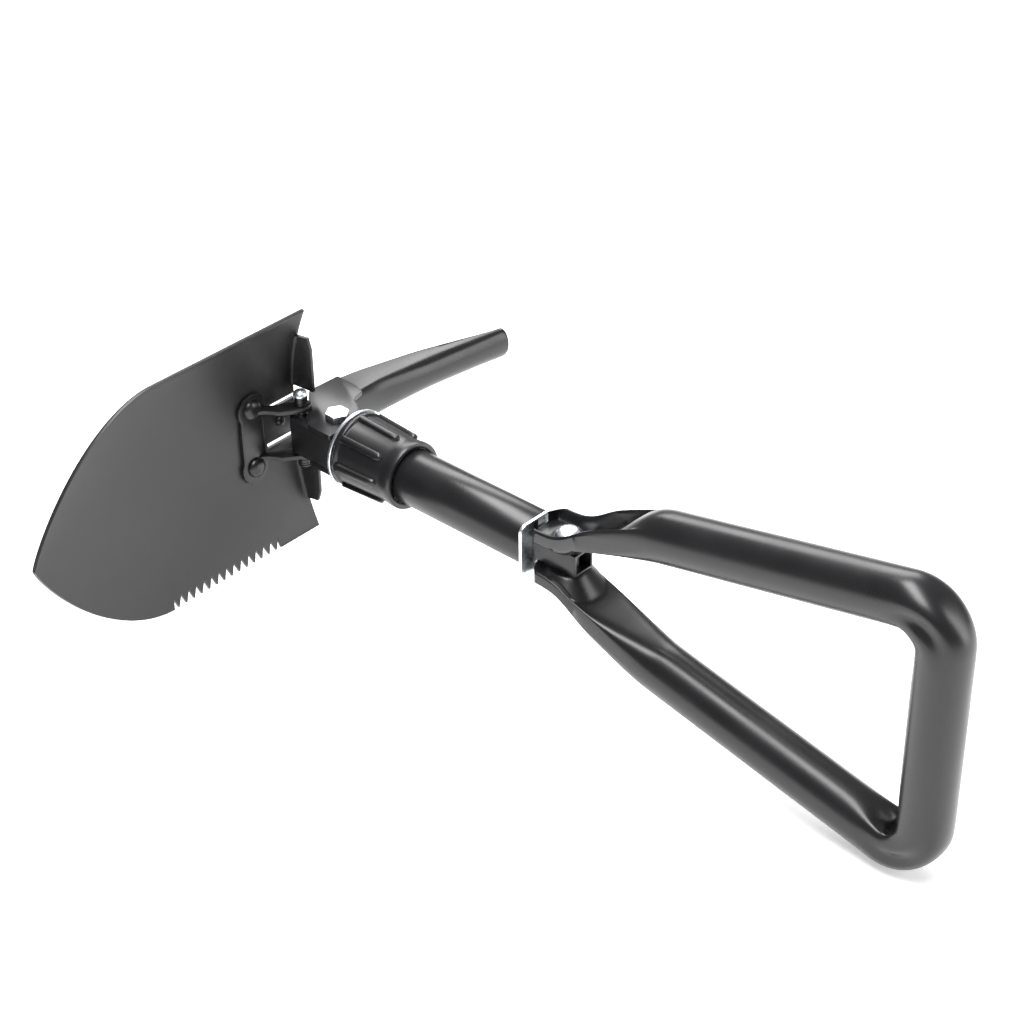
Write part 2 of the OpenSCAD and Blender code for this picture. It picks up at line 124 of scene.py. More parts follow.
class SHOVEL_PG_blade(bpy.types.PropertyGroup):
    """The blade's sheet."""

    sheet: bpy.props.FloatProperty(
        name="Sheet", description="Thickness of the blade's sheet, in millimetres",
        default=1.5, min=1.2, max=1.8)
    teeth: bpy.props.IntProperty(
        name="Saw teeth", description="Number of teeth on the saw edge", default=14, min=10, max=16)
    tooth_height: bpy.props.FloatProperty(
        name="Tooth height", description="Height of a saw tooth, in millimetres",
        default=4.3, min=3, max=5)


class SHOVEL_PG_collar(bpy.types.PropertyGroup):
    """The locking collar's grip ribs."""

    ribs: bpy.props.IntProperty(
        name="Ribs", description="Number of grip ribs round the collar", default=8, min=6, max=10)
    rib_width: bpy.props.FloatProperty(
        name="Rib width", description="Width of one rib, in millimetres", default=3.4, min=2, max=5)


class SHOVEL_PG_finish(bpy.types.PropertyGroup):
    """Colours of the paint and of the plated parts."""

    paint: bpy.props.FloatVectorProperty(
        name="Paint", description="Colour of the satin black paint", subtype="COLOR", size=3,
        default=(0.0065, 0.0065, 0.0075), min=0, max=1)
    blade_paint: bpy.props.FloatVectorProperty(
        name="Blade paint", description="Colour of the blade's flatter paint", subtype="COLOR", size=3,
        default=(0.012, 0.0115, 0.0115), min=0, max=1)
    zinc: bpy.props.FloatVectorProperty(
        name="Zinc", description="Colour of the bright plating", subtype="COLOR", size=3,
        default=(0.88, 0.93, 0.96), min=0, max=1)
    floor: bpy.props.FloatVectorProperty(
        name="Floor", description="Colour of the studio floor", subtype="COLOR", size=3,
        default=(0.93, 0.93, 0.93), min=0, max=1)


# ---- materials ----


class Nodes:
    """Short way to add and join nodes of one material."""

    def __init__(self, name):
        self.material = bpy.data.materials.new(name)
        self.material.use_nodes = True
        self.tree = self.material.node_tree
        self.shader = self.tree.nodes["Principled BSDF"]

    def add(self, kind, **values):
        node = self.tree.nodes.new(kind)
        for key, value in values.items():
            setattr(node, key, value)
        return node

    def join(self, source, target):
        self.tree.links.new(source, target)

    def noise(self, scale, detail=3.0, rough=0.5):
        """Noise on the object's own coordinates; scale is in waves per metre."""
        place_node = self.add("ShaderNodeTexCoord")
        node = self.add("ShaderNodeTexNoise")
        node.inputs["Scale"].default_value = scale
        node.inputs["Detail"].default_value = detail
        node.inputs["Roughness"].default_value = rough
        self.join(place_node.outputs["Object"], node.inputs["Vector"])
        return node.outputs["Fac"]

    def ranged(self, value, low, high, from_low=0.3, from_high=0.7):
        node = self.add("ShaderNodeMapRange")
        node.inputs["From Min"].default_value = from_low
        node.inputs["From Max"].default_value = from_high
        node.inputs["To Min"].default_value = low
        node.inputs["To Max"].default_value = high
        self.join(value, node.inputs["Value"])
        return node.outputs["Result"]

    def tint(self, value, low, high):
        node = self.add("ShaderNodeValToRGB")
        node.color_ramp.elements[0].position = 0.3
        node.color_ramp.elements[1].position = 0.7
        node.color_ramp.elements[0].color = (*low, 1)
        node.color_ramp.elements[1].color = (*high, 1)
        self.join(value, node.inputs["Fac"])
        return node.outputs["Color"]

    def bump(self, value, depth, strength=1.0):
        node = self.add("ShaderNodeBump")
        node.inputs["Strength"].default_value = strength
        node.inputs["Distance"].default_value = depth
        self.join(value, node.inputs["Height"])
        self.join(node.outputs["Normal"], self.shader.inputs["Normal"])


def shade(colour, factor):
    return tuple(c * factor for c in colour)


def painted(name, colour, rough, peel):
    """Stoved paint: cloudy gloss, faint orange peel and a little dust in the colour."""
    n = Nodes(name)
    cloud = n.noise(38, 4)
    fine = n.noise(900, 2)
    n.join(n.tint(cloud, shade(colour, 0.85), shade(colour, 1.35)), n.shader.inputs["Base Color"])
    n.join(n.ranged(cloud, rough - 0.035, rough + 0.045), n.shader.inputs["Roughness"])
    n.shader.inputs["Specular IOR Level"].default_value = 0.5
    n.bump(fine, peel)
    return n.material


def plated(name, colour, rough, low_share):
    """Bright or dark plating: spangle in the colour, fine scratches in the gloss."""
    n = Nodes(name)
    spangle = n.noise(260, 3)
    scratch = n.noise(2400, 2, 0.7)
    n.join(n.tint(spangle, shade(colour, low_share), colour), n.shader.inputs["Base Color"])
    n.join(n.ranged(scratch, rough - 0.06, rough + 0.08), n.shader.inputs["Roughness"])
    n.shader.inputs["Metallic"].default_value = 1.0
    n.bump(scratch, 0.00001)
    return n.material


def finish_of(name):
    """The named finish, made the first time it is asked for."""
    found = bpy.data.materials.get(name)
    if found:
        return found
    colours = bpy.context.scene.shovel_finish
    if name == "satin_black":
        return painted(name, tuple(colours.paint), 0.3, 0.00001)
    if name == "blade_black":
        return painted(name, tuple(colours.blade_paint), 0.4, 0.000014)
    if name == "zinc_plate":
        return plated(name, tuple(colours.zinc), 0.3, 0.95)
    return plated("dark_steel", (0.2, 0.2, 0.21), 0.42, 0.6)


# ---- making meshes ----


def shell(name, points, faces, material, ridge=35.0, bevel=0.0, thickness=0.0):
    """A closed piece from points in millimetres; faces may leave an open sheet if it gets a thickness."""
    mesh = bpy.data.meshes.new(name)
    mesh.from_pydata([place(*p) for p in points], [], faces)
    tidy = bmesh.new()
    tidy.from_mesh(mesh)
    bmesh.ops.remove_doubles(tidy, verts=tidy.verts, dist=0.002 * MM)
    bmesh.ops.dissolve_degenerate(tidy, edges=tidy.edges, dist=0.002 * MM)
    bmesh.ops.recalc_face_normals(tidy, faces=tidy.faces)
    tidy.to_mesh(mesh)
    tidy.free()
    piece = bpy.data.objects.new(name, mesh)
    bpy.context.scene.collection.objects.link(piece)
    if thickness:
        wall = piece.modifiers.new("thickness", "SOLIDIFY")
        wall.thickness = thickness * MM
        wall.offset = 0
        bake(piece)
    if bevel:
        round_edges(piece, bevel, ridge)
    mesh = piece.data
    mesh.shade_smooth()
    mesh.set_sharp_from_angle(angle=math.radians(ridge))
    mesh.materials.clear()
    mesh.materials.append(material)
    return piece


def bake(piece):
    """Turns a piece's modifiers into its plain mesh."""
    graph = bpy.context.evaluated_depsgraph_get()
    baked = bpy.data.meshes.new_from_object(piece.evaluated_get(graph))
    piece.modifiers.clear()
    old = piece.data
    piece.data = baked
    baked.name = piece.name
    bpy.data.meshes.remove(old)


def round_edges(piece, width, angle=35.0, segments=2):
    edge = piece.modifiers.new("edge", "BEVEL")
    edge.width = width * MM
    edge.segments = segments
    edge.limit_method = "ANGLE"
    edge.angle_limit = math.radians(angle)
    edge.harden_normals = False
    bake(piece)


def ring_faces(rings, count, closed=True):
    """Quads between rings of count points, with a cap at each end."""
    faces = []
    for i in range(rings - 1):
        for j in range(count):
            k = (j + 1) % count
            faces.append((i * count + j, (i + 1) * count + j, (i + 1) * count + k, i * count + k))
    if closed:
        faces.append(tuple(range(count)))
        faces.append(tuple(range((rings - 1) * count, rings * count)))
    return faces


def turned(name, profile, centre, axis, material, sides=64, bevel=0.0, ridge=35.0):
    """A closed lathe shape: profile is (along the axis, radius), from one end to the other."""
    points = []
    for along_axis, radius in profile:
        for j in range(sides):
            a = 2 * math.pi * j / sides
            c, s = radius * math.cos(a), radius * math.sin(a)
            offset = (along_axis, c, s) if axis == "X" else (c, s, along_axis)
            points.append(tuple(o + p for o, p in zip(centre, offset)))
    loop = profile[0][1] > 0.01 and profile[0] == profile[-1]
    faces = ring_faces(len(profile), sides, closed=not loop)
    return shell(name, points, faces, material, ridge, bevel)


def softened(node, material, width=0.35, name=None):
    """A cleaned copy of a node with its sharp edges rounded, standing for the node."""
    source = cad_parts[node]
    mesh = source.data.copy()
    mesh.name = name or node + "_piece"
    work = bmesh.new()
    work.from_mesh(mesh)
    bmesh.ops.remove_doubles(work, verts=work.verts, dist=0.001 * MM)
    bmesh.ops.dissolve_limit(work, angle_limit=math.radians(0.8), verts=work.verts, edges=work.edges)
    work.to_mesh(mesh)
    work.free()
    piece = bpy.data.objects.new(mesh.name, mesh)
    bpy.context.scene.collection.objects.link(piece)
    round_edges(piece, width, 40)
    piece.data.shade_smooth()
    piece.data.set_sharp_from_angle(angle=math.radians(30))
    piece.data.materials.clear()
    piece.data.materials.append(material)
    return piece


def stand_for(piece, body, slot, *nodes):
    """The piece moves with the body and replaces the nodes; slot is not used."""
    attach(piece, body)
    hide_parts(*nodes)
    return piece


def joined(name, pieces):
    """One object from several, keeping the first one's material."""
    work = bmesh.new()
    for piece in pieces:
        work.from_mesh(piece.data)
    mesh = bpy.data.meshes.new(name)
    work.to_mesh(mesh)
    work.free()
    mesh.materials.append(pieces[0].data.materials[0])
    for piece in pieces:
        bpy.data.objects.remove(piece)
    whole = bpy.data.objects.new(name, mesh)
    bpy.context.scene.collection.objects.link(whole)
    return whole


def copies_tree():
    """Geometry Nodes tree: copies of the piece in a row, each turned a step further about X."""
    tree = bpy.data.node_groups.get("copies in a row")
    if tree:
        return tree
    tree = bpy.data.node_groups.new("copies in a row", "GeometryNodeTree")
    face = tree.interface
    face.new_socket("Piece", in_out="INPUT", socket_type="NodeSocketGeometry")
    face.new_socket("Count", in_out="INPUT", socket_type="NodeSocketInt")
    face.new_socket("First place", in_out="INPUT", socket_type="NodeSocketVector")
    face.new_socket("Step", in_out="INPUT", socket_type="NodeSocketVector")
    face.new_socket("Turn", in_out="INPUT", socket_type="NodeSocketFloat")
    face.new_socket("Finish", in_out="INPUT", socket_type="NodeSocketMaterial")
    face.new_socket("Copies", in_out="OUTPUT", socket_type="NodeSocketGeometry")
    start = tree.nodes.new("NodeGroupInput")
    end = tree.nodes.new("NodeGroupOutput")
    row = tree.nodes.new("GeometryNodeMeshLine")
    index = tree.nodes.new("GeometryNodeInputIndex")
    times = tree.nodes.new("ShaderNodeMath")
    times.operation = "MULTIPLY"
    turn = tree.nodes.new("ShaderNodeCombineXYZ")
    copy = tree.nodes.new("GeometryNodeInstanceOnPoints")
    real = tree.nodes.new("GeometryNodeRealizeInstances")
    coat = tree.nodes.new("GeometryNodeSetMaterial")
    link = tree.links.new
    link(start.outputs["Count"], row.inputs["Count"])
    link(start.outputs["First place"], row.inputs["Start Location"])
    link(start.outputs["Step"], row.inputs["Offset"])
    link(index.outputs["Index"], times.inputs[0])
    link(start.outputs["Turn"], times.inputs[1])
    link(times.outputs["Value"], turn.inputs["X"])
    link(row.outputs["Mesh"], copy.inputs["Points"])
    link(start.outputs["Piece"], copy.inputs["Instance"])
    link(turn.outputs["Vector"], copy.inputs["Rotation"])
    link(copy.outputs["Instances"], real.inputs["Geometry"])
    link(real.outputs["Geometry"], coat.inputs["Geometry"])
    link(start.outputs["Finish"], coat.inputs["Material"])
    link(coat.outputs["Geometry"], end.inputs["Copies"])
    return tree


def repeated(piece, count, first, step, turn):
    """Bakes copies of a piece that is drawn round the datum; first and step are in millimetres."""
    piece.data.transform(Matrix.Translation(-DATUM))
    tree = copies_tree()
    work = piece.modifiers.new("copies", "NODES")
    work.node_group = tree
    values = {
        "Count": count,
        "First place": place(*first),
        "Step": Vector(step) * MM,
        "Turn": turn,
        "Finish": piece.data.materials[0],
    }
    for item in tree.interface.items_tree:
        if item.item_type == "SOCKET" and item.in_out == "INPUT" and item.name in values:
            work[item.identifier] = values[item.name]
    finish = piece.data.materials[0]
    bake(piece)
    piece.data.materials.clear()
    piece.data.materials.append(finish)
    for polygon in piece.data.polygons:
        polygon.material_index = 0
    return piece


def dome(height, radius, rings=7):
    """Profile of a low dome that starts at its rim and ends at its top, as (height, radius)."""
    return [(height * math.sin(a), radius * math.cos(a) ** 0.8) for a in span(0, math.pi / 2, rings)]


# ---- blade ----

KINK_Y = -80.0
TIP_Y = -144.2
SHOULDER_Y = 2.3
BLADE_LENGTH = SHOULDER_Y - TIP_Y
BLADE_X = -14.6
DISH = 10.5
SAW = (-79.0, -20.0)
SLOT = (7.85, 10.15)
SLOT_END = -14.6
STEP_Z = (15.0, 40.0)
STEP_FOOT_Y = -0.6
STEP_FREE_X = -12.0


def rim_half(y):
    t = min(1.0, max(0.0, (y - KINK_Y) / (TIP_Y - KINK_Y)))
    return HALF_W * max(0.002, 1 - t**1.8) ** 0.85


def sheet_x(y, z):
    """The blade's middle surface: a flat-bottomed dish that runs out towards the tip."""
    length = 1 - min(1.0, abs(y - SHOULDER_Y) / BLADE_LENGTH) ** 2
    across = 1 - min(1.1, abs(z) / rim_half(y)) ** 2.4
    return BLADE_X - DISH * length * across


def saw_edge(y, teeth, height):
    """Low edge of the blade at y: raked teeth between the two ends of the saw."""
    if not SAW[0] <= y <= SAW[1]:
        return -rim_half(y)
    share = (y - SAW[0]) / (SAW[1] - SAW[0]) * teeth % 1
    lift = 1 - share / 0.35 if share < 0.35 else min(1.0, (share - 0.35) / 0.6)
    return -HALF_W + height * lift


class SHOVEL_OT_blade(bpy.types.Operator):
    """Dished blade with its saw edge, its two slots and the folded foot steps"""

    bl_idname = "shovel.blade"
    bl_label = "Blade"

    def execute(self, context):
        sizes = context.scene.shovel_blade
        saw_step = (SAW[1] - SAW[0]) / sizes.teeth
        saw_rows = [SAW[0] + saw_step * (i + part) for i in range(sizes.teeth) for part in (0, 0.35, 0.95)]
        tip_rows = [mix(KINK_Y, TIP_Y, math.sin(u)) for u in span(0, math.pi / 2, 26)[1:]]
        shoulder_rows = [SHOULDER_Y, STEP_FOOT_Y + 1.4, STEP_FOOT_Y, -3, -5, -8, -11, -14, SLOT_END,
                         -17.2, -18.6, -19.9]
        rows = shoulder_rows + sorted(saw_rows, reverse=True) + [KINK_Y] + tip_rows
        high = [SLOT[0], 9, SLOT[1], 12.6, STEP_Z[0], 19, 23, 27, 31, 35, STEP_Z[1],
                43, 46, 49, 51.6, HALF_W]
        columns = [-z for z in reversed(high)] + [-5, -2.5, 0, 2.5, 5] + high
        points, number = [], {}
        for i, y in enumerate(rows):
            for j, column in enumerate(columns):
                z = column / HALF_W * rim_half(y)
                if j == 0:
                    z = saw_edge(y, sizes.teeth, sizes.tooth_height)
                elif z < 0:
                    z = max(z, saw_edge(y, sizes.teeth, sizes.tooth_height) * (1 - 0.004 * j))
                number[i, j] = len(points)
                points.append((sheet_x(y, z), y, z))
        faces = []
        for i in range(len(rows) - 1):
            for j in range(len(columns) - 1):
                zs = [abs(columns[j]), abs(columns[j + 1])]
                in_slot = min(zs) >= SLOT[0] and max(zs) <= SLOT[1] and rows[i] > SLOT_END
                over_step = min(zs) >= STEP_Z[0] and max(zs) <= STEP_Z[1] and rows[i] > STEP_FOOT_Y
                if not in_slot and not over_step:
                    faces.append((number[i, j], number[i + 1, j], number[i + 1, j + 1], number[i, j + 1]))
        for side in (-1, 1):
            self.fold_step(columns, side, points, faces)
        piece = shell("blade_sheet", points, faces, finish_of("blade_black"), ridge=38,
                      bevel=0.3, thickness=sizes.sheet)
        stand_for(piece, "blade", "blade_paint", "blade")
        return {"FINISHED"}

    @staticmethod
    def fold_step(columns, side, points, faces):
        """The foot step: the sheet turned forward through a bend, then straight to its free edge."""
        zs = [z for z in columns if side * z >= STEP_Z[0] and side * z <= STEP_Z[1]]
        bend, lean = 2.4, math.radians(84)
        rows = []
        for a in span(0, lean, 7):
            rows.append([(sheet_x(STEP_FOOT_Y, z) + bend * (1 - math.cos(a)),
                          STEP_FOOT_Y + bend * math.sin(a), z) for z in zs])
        free = []
        for z in zs:
            clip = 1.6 * smooth((abs(z) - STEP_Z[1] + 4) / 4)
            free.append((STEP_FREE_X - clip, STEP_FOOT_Y + bend + 1.0, z))
        rows.append([tuple(mix(p, q, 0.5) for p, q in zip(a, b)) for a, b in zip(rows[-1], free)])
        rows.append(free)
        base = len(points)
        for row in rows:
            points.extend(row)
        wide = len(zs)
        for i in range(len(rows) - 1):
            for j in range(wide - 1):
                k = base + i * wide + j
                faces.append((k, k + wide, k + wide + 1, k + 1))


# ---- bracket and its rivets ----

LOBE = (-23.4, 14.2)
LOBE_R = 7.4
BRACKET_T = 1.6
BLADE_PIVOT = (-12.3, -4.7)
EAR = (10.2, 12.2)


def arc(centre, radius, first, last, count):
    """Points of an arc in plan, angles in degrees."""
    return [(centre[0] + radius * math.cos(math.radians(a)), centre[1] + radius * math.sin(math.radians(a)))
            for a in span(first, last, count)]


def plate_points(outline, low, high, lift_of):
    """A prism from an outline of pairs: lift_of(pair, level) gives each point."""
    points = [lift_of(p, low) for p in outline] + [lift_of(p, high) for p in outline]
    n = len(outline)
    faces = [tuple(range(n)), tuple(range(n, 2 * n))]
    faces += [(i, (i + 1) % n, n + (i + 1) % n, n + i) for i in range(n)]
    return points, faces


class SHOVEL_OT_bracket(bpy.types.Operator):
    """Bone-shaped bracket on the blade, with the two cheeks that hold the pivot"""

    bl_idname = "shovel.bracket"
    bl_label = "Blade bracket"

    def execute(self, context):
        black = finish_of("satin_black")
        lift = 1.5 / 2 + BRACKET_T / 2 + 0.02
        waist_left, waist_right = LOBE[0] - LOBE_R + 1.3, -17.2
        points, faces = [], []
        rows = span(-LOBE[1] - LOBE_R, LOBE[1] + LOBE_R, 52)
        share = span(0, 1, 10)
        for z in rows:
            off = abs(abs(z) - LOBE[1])
            chord = math.sqrt(max(0.0, LOBE_R**2 - off**2)) if abs(z) > LOBE[1] - LOBE_R else 0
            left, right = LOBE[0] - chord, LOBE[0] + chord
            if abs(z) < LOBE[1]:
                soft = smooth((abs(z) - 8) / 4.5)
                left = mix(waist_left, min(left, waist_left), soft)
                right = max(right, waist_right)
            for s in share:
                y = mix(left, right, s)
                points.append((sheet_x(y, z) + lift, y, z))
        wide = len(share)
        for i in range(len(rows) - 1):
            for j in range(wide - 1):
                k = i * wide + j
                faces.append((k, k + 1, k + wide + 1, k + wide))
        plate = shell("bracket_plate", points, faces, black, bevel=0.25, thickness=BRACKET_T)
        root = sheet_x(*LOBE) + lift
        ear = [(root, LOBE[0] - 2), (root + 1.2, -20.4), (root + 2.9, -18.3), (-17.4, -16.6), (-14.6, -15.2)]
        ear += arc(BLADE_PIVOT, 4.4, -42, 118, 12) + [(root + 2.5, -12.6), (root, -15)]
        ears = []
        for side in (-1, 1):
            corners, walls = plate_points(ear, side * EAR[0], side * EAR[1], lambda p, z: (p[0], p[1], z))
            ears.append(shell("bracket_ear", corners, walls, black, bevel=0.3))
        piece = joined("bracket", [plate] + ears)
        stand_for(piece, "blade", "black_paint", "blade_bracket")
        return {"FINISHED"}


class SHOVEL_OT_rivets(bpy.types.Operator):
    """Two domed rivets through the bracket, and the small stud on the blade's tongue"""

    bl_idname = "shovel.rivets"
    bl_label = "Blade rivets"

    def execute(self, context):
        black = finish_of("satin_black")
        front = sheet_x(*LOBE) + 1.5 / 2 + BRACKET_T + 0.1
        back = sheet_x(*LOBE) - 1.5 / 2 - 0.35
        head = [(front, 2.4), (front, 4.1), (front + 0.35, 4.4)]
        head += [(front + 0.35 + h, r) for h, r in dome(2.05, 4.3)[1:]]
        tail = [(back - h, r) for h, r in reversed(dome(1.15, 3.9))] + [(back, 2.4)]
        profile = [(x, max(r, 0.0)) for x, r in tail + head]
        rivet = turned("blade_rivet_pair", profile, (0, 0, 0), "X", black, sides=40)
        repeated(rivet, 2, (0, LOBE[0], -LOBE[1]), (0, 0, 2 * LOBE[1]), 0.0)
        stand_for(rivet, "blade", "black_paint", "blade_rivets")
        foot = sheet_x(-6.5, 0) + 1.5 / 2 - 0.3
        cap = [(foot - 1.6, 0), (foot - 1.6, 1.1), (foot, 1.2), (foot + 0.3, 2.35)]
        cap += [(foot + 0.3 + h, r) for h, r in dome(1.7, 2.35)[1:]]
        stud = turned("tongue_stud", cap, (0, -6.5, 0), "X", black, sides=32)
        stand_for(stud, "blade", "black_paint", "stop_stud")
        return {"FINISHED"}


# ---- pick ----

PICK_PIVOT = (4.5, 0.0)
PICK_TIP_Y = 104.4
PICK_FRONT = [(12, -1.5), (20, -3.2), (33, -4.3), (50, -2.3), (75, 1), (104.5, 5.2)]
PICK_BACK = [(12, -20.6), (34, -19.6), (63, -13.2), (82, -6.6), (104.5, 1.2)]
PICK_HEIGHT = [(12, 9.96), (18, 9.6), (28, 8.5), (40, 8), (60, 7.5), (104.5, 7)]
PICK_T = 2.0
PICK_WEB = [(12, 16), (34, 11.5), (63, 6.5), (92, 1.6), (104.5, 0.6)]


def pick_section(y, steps=20):
    """Outer half of the channel and its inner half, as one closed loop of (x, z)."""
    height = eased(PICK_HEIGHT, y)
    front, back = eased(PICK_FRONT, y), eased(PICK_BACK, y)
    flat = back + min(eased(PICK_WEB, y), front - back - 2.5)
    reach = front - flat
    low = height - PICK_T
    inner_reach = max(0.4, reach - PICK_T)
    angles = span(90, -90, steps)

    def half_round(wide, high, sweep):
        return [(flat + wide * math.cos(math.radians(a)), high * math.sin(math.radians(a)))
                for a in sweep]

    outer = [(back + 0.3, height), (mix(back, flat, 0.5), height + 0.15)]
    outer += half_round(reach, height, angles)
    outer += [(mix(back, flat, 0.5), -height - 0.15), (back + 0.3, -height)]
    inner = [(back, 0.4 - height), (back + 0.2, -low), (mix(back, flat, 0.5), -low)]
    inner += half_round(inner_reach, low, reversed(angles))
    inner += [(mix(back, flat, 0.5), low), (back + 0.2, low), (back, height - 0.4)]
    return outer + inner


class SHOVEL_OT_pick(bpy.types.Operator):
    """Pick pressed from one sheet: a half-round channel with two flat cheeks at its root"""

    bl_idname = "shovel.pick"
    bl_label = "Pick"

    def execute(self, context):
        black = finish_of("satin_black")
        ys = span(15.2, PICK_TIP_Y - 2.4, 46) + [PICK_TIP_Y - 1.2, PICK_TIP_Y - 0.4, PICK_TIP_Y]
        draw_in = {len(ys) - 1: 0.9, len(ys) - 2: 0.96, len(ys) - 3: 0.99}
        points = []
        for i, y in enumerate(ys):
            loop = pick_section(y)
            squeeze = draw_in.get(i, 1.0)
            points += [(x, y, z * squeeze) for x, z in loop]
        count = len(loop)
        faces = ring_faces(len(ys), count, closed=False)
        half = count // 2
        for base in (0, (len(ys) - 1) * count):
            for j in range(half - 1):
                faces.append((base + j, base + j + 1, base + count - 2 - j, base + count - 1 - j))
        channel = shell("pick_channel", points, faces, black, ridge=50)
        cheek = [(-1, -12), (11.6, -12), (12.3, -11.2), (12.3, -6)]
        cheek += arc(PICK_PIVOT, 10, -36, 66, 16)[2:]
        cheek += [(3.2, 13.4), (-0.6, 14.6), (-1.9, 16.6), (-3.2, 22), (-9, 24), (-20.2, 24), (-20.8, 8.4),
                  (-20.2, 7.2)]
        cheeks = []
        for side in (-1, 1):
            corners, walls = plate_points(cheek, side * 8, side * 10, lambda p, z: (p[0], p[1], z))
            cheeks.append(shell("pick_cheek", corners, walls, black, bevel=0.35))
        piece = joined("pick_arm", [channel] + cheeks)
        stand_for(piece, "pick", "black_paint", "pick")
        return {"FINISHED"}


# ---- head: lug, bolts and pins ----


class SHOVEL_OT_head(bpy.types.Operator):
    """Head lug, the pick's hexagon bolt with its nut, and the blade's pivot pin"""

    bl_idname = "shovel.head"
    bl_label = "Head"

    def execute(self, context):
        black, zinc = finish_of("satin_black"), finish_of("zinc_plate")
        stand_for(softened("head_lug", black, 0.5), "root", "black_paint", "head_lug")
        stand_for(softened("pick_bolt", zinc, 0.2), "root", "zinc", "pick_bolt")
        stand_for(softened("pick_nut", zinc, 0.35), "root", "zinc", "pick_nut")
        stand_for(softened("pick_nut_washer", zinc, 0.2), "root", "zinc", "pick_nut_washer")
        head = [(0, 0), (0, 2.0), (16.3, 2.0), (16.32, 2.6), (16.6, 3.05)]
        head += [(16.9 + h, r) for h, r in dome(2.3, 3.1)]
        pin = turned("pivot_pin", head, (*BLADE_PIVOT, 0), "Z", zinc, sides=40)
        stand_for(pin, "root", "zinc", "blade_pivot_pin")
        peened = [(0, 0), (0, 2.0), (-16.3, 2.0), (-16.32, 2.7)]
        peened += [(-16.6 - h, r) for h, r in dome(1.5, 2.9)]
        tail = turned("pivot_pin_tail", peened, (*BLADE_PIVOT, 0), "Z", black, sides=40)
        stand_for(tail, "root", "black_paint", "blade_pivot_pin")
        spring = [(12.26, 2.05), (12.26, 2.8), (12.4, 2.95), (13.5, 2.95), (13.6, 2.7), (13.75, 2.7),
                  (13.85, 2.9), (15.1, 2.9), (15.2, 2.75), (15.3, 2.75), (15.4, 2.9), (16.15, 2.9),
                  (16.27, 2.75), (16.27, 2.05), (12.26, 2.05)]
        stack = turned("pivot_washers", spring, (0, 0, 0), "Z", black, sides=40)
        repeated(stack, 2, (*BLADE_PIVOT, 0), (0, 0, 0), math.pi)
        stand_for(stack, "root", "black_paint", "blade_pivot_bushes")
        return {"FINISHED"}


# ---- collar and shaft ----


class SHOVEL_OT_collar(bpy.types.Operator):
    """Ribbed locking collar and the bright washer in front of it"""

    bl_idname = "shovel.collar"
    bl_label = "Collar"

    def execute(self, context):
        sizes = context.scene.shovel_collar
        black, zinc = finish_of("satin_black"), finish_of("zinc_plate")
        outside = [(16.42, 15.3), (16.6, 15.9), (17.0, 16.2), (18.2, 16.2), (18.6, 15.9), (18.9, 15.3),
                   (19.3, 15.2), (41.0, 14.3), (42.2, 14.2), (43.4, 14.35), (45.6, 14.6), (47.2, 14.6),
                   (47.8, 14.4), (47.95, 13.8)]
        inside = [(47.95, 12.9), (47.6, 12.4), (45.4, 12.35), (45.1, 13.08), (17.0, 13.08), (16.42, 13.6)]
        profile = outside + inside + outside[:1]
        body = turned("collar_body", profile, (0, 0, 0), "X", black, sides=96, ridge=50)
        rib = self.rib(sizes, black)
        repeated(rib, sizes.ribs, (0, 0, 0), (0, 0, 0), 2 * math.pi / sizes.ribs)
        stand_for(joined("collar", [body, rib]), "collar", "black_paint", "collar_nut")
        ring = [(14.98, 13.7), (14.98, 16.7), (15.2, 16.98), (16.1, 16.98), (16.33, 16.7),
                (16.33, 13.7), (14.98, 13.7)]
        washer = turned("front_ring", ring, (0, 0, 0), "X", zinc, sides=96)
        stand_for(washer, "washer", "zinc", "front_washer")
        return {"FINISHED"}

    @staticmethod
    def rib(sizes, material):
        """One raised rib: flat-topped, with soft sides and a round rear end."""
        half = sizes.rib_width / 2
        start, stop = 18.4, 40.4
        xs = [start, start + 0.4] + span(start + 2, stop - 2, 8) + [stop - 1.2, stop - 0.5, stop]
        points = []
        for x in xs:
            ease = math.sqrt(max(0.0, 1 - max(0.0, (x - stop + 2) / 2) ** 2))
            w = half * max(0.25, ease)
            top = mix(14.0, along([(start, 16.9), (stop, 15.7)], x), 0.35 + 0.65 * ease)
            if x == start:
                top -= 0.5
            across = [(-w, 14.0), (-w * 0.92, top - 0.35), (-w * 0.72, top), (0, top + 0.05),
                      (w * 0.72, top), (w * 0.92, top - 0.35), (w, 14.0)]
            points += [(x, y, z) for y, z in across]
        return shell("collar_rib", points, ring_faces(len(xs), 7), material, ridge=45)


class SHOVEL_OT_shaft(bpy.types.Operator):
    """Round shaft tube, square rear plate, core tube and what the shaft hides"""

    bl_idname = "shovel.shaft"
    bl_label = "Shaft"

    def execute(self, context):
        black, zinc = finish_of("satin_black"), finish_of("zinc_plate")
        tube = [(23.5, 10.4), (23.5, 11.3), (23.8, 11.5), (115.9, 11.5), (116.2, 11.3), (116.2, 10.4),
                (23.5, 10.4)]
        shaft = turned("shaft", tube, (0, 0, 0), "X", black, sides=96)
        stand_for(shaft, "sleeve", "black_paint", "shaft_tube")
        stand_for(softened("rear_plate", zinc, 0.3), "sleeve", "zinc", "rear_plate")
        stand_for(softened("core_tube", black, 0.3), "root", "black_paint", "core_tube")
        finishes = {"thread_sleeve": "zinc_plate", "guide_bush": "dark_steel", "core_pin": "dark_steel",
                    "handle_spacer": "dark_steel"}
        for node, finish in finishes.items():
            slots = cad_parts[node].data.materials
            slots.clear()
            slots.append(finish_of(finish))
        return {"FINISHED"}


# ---- D-handle ----

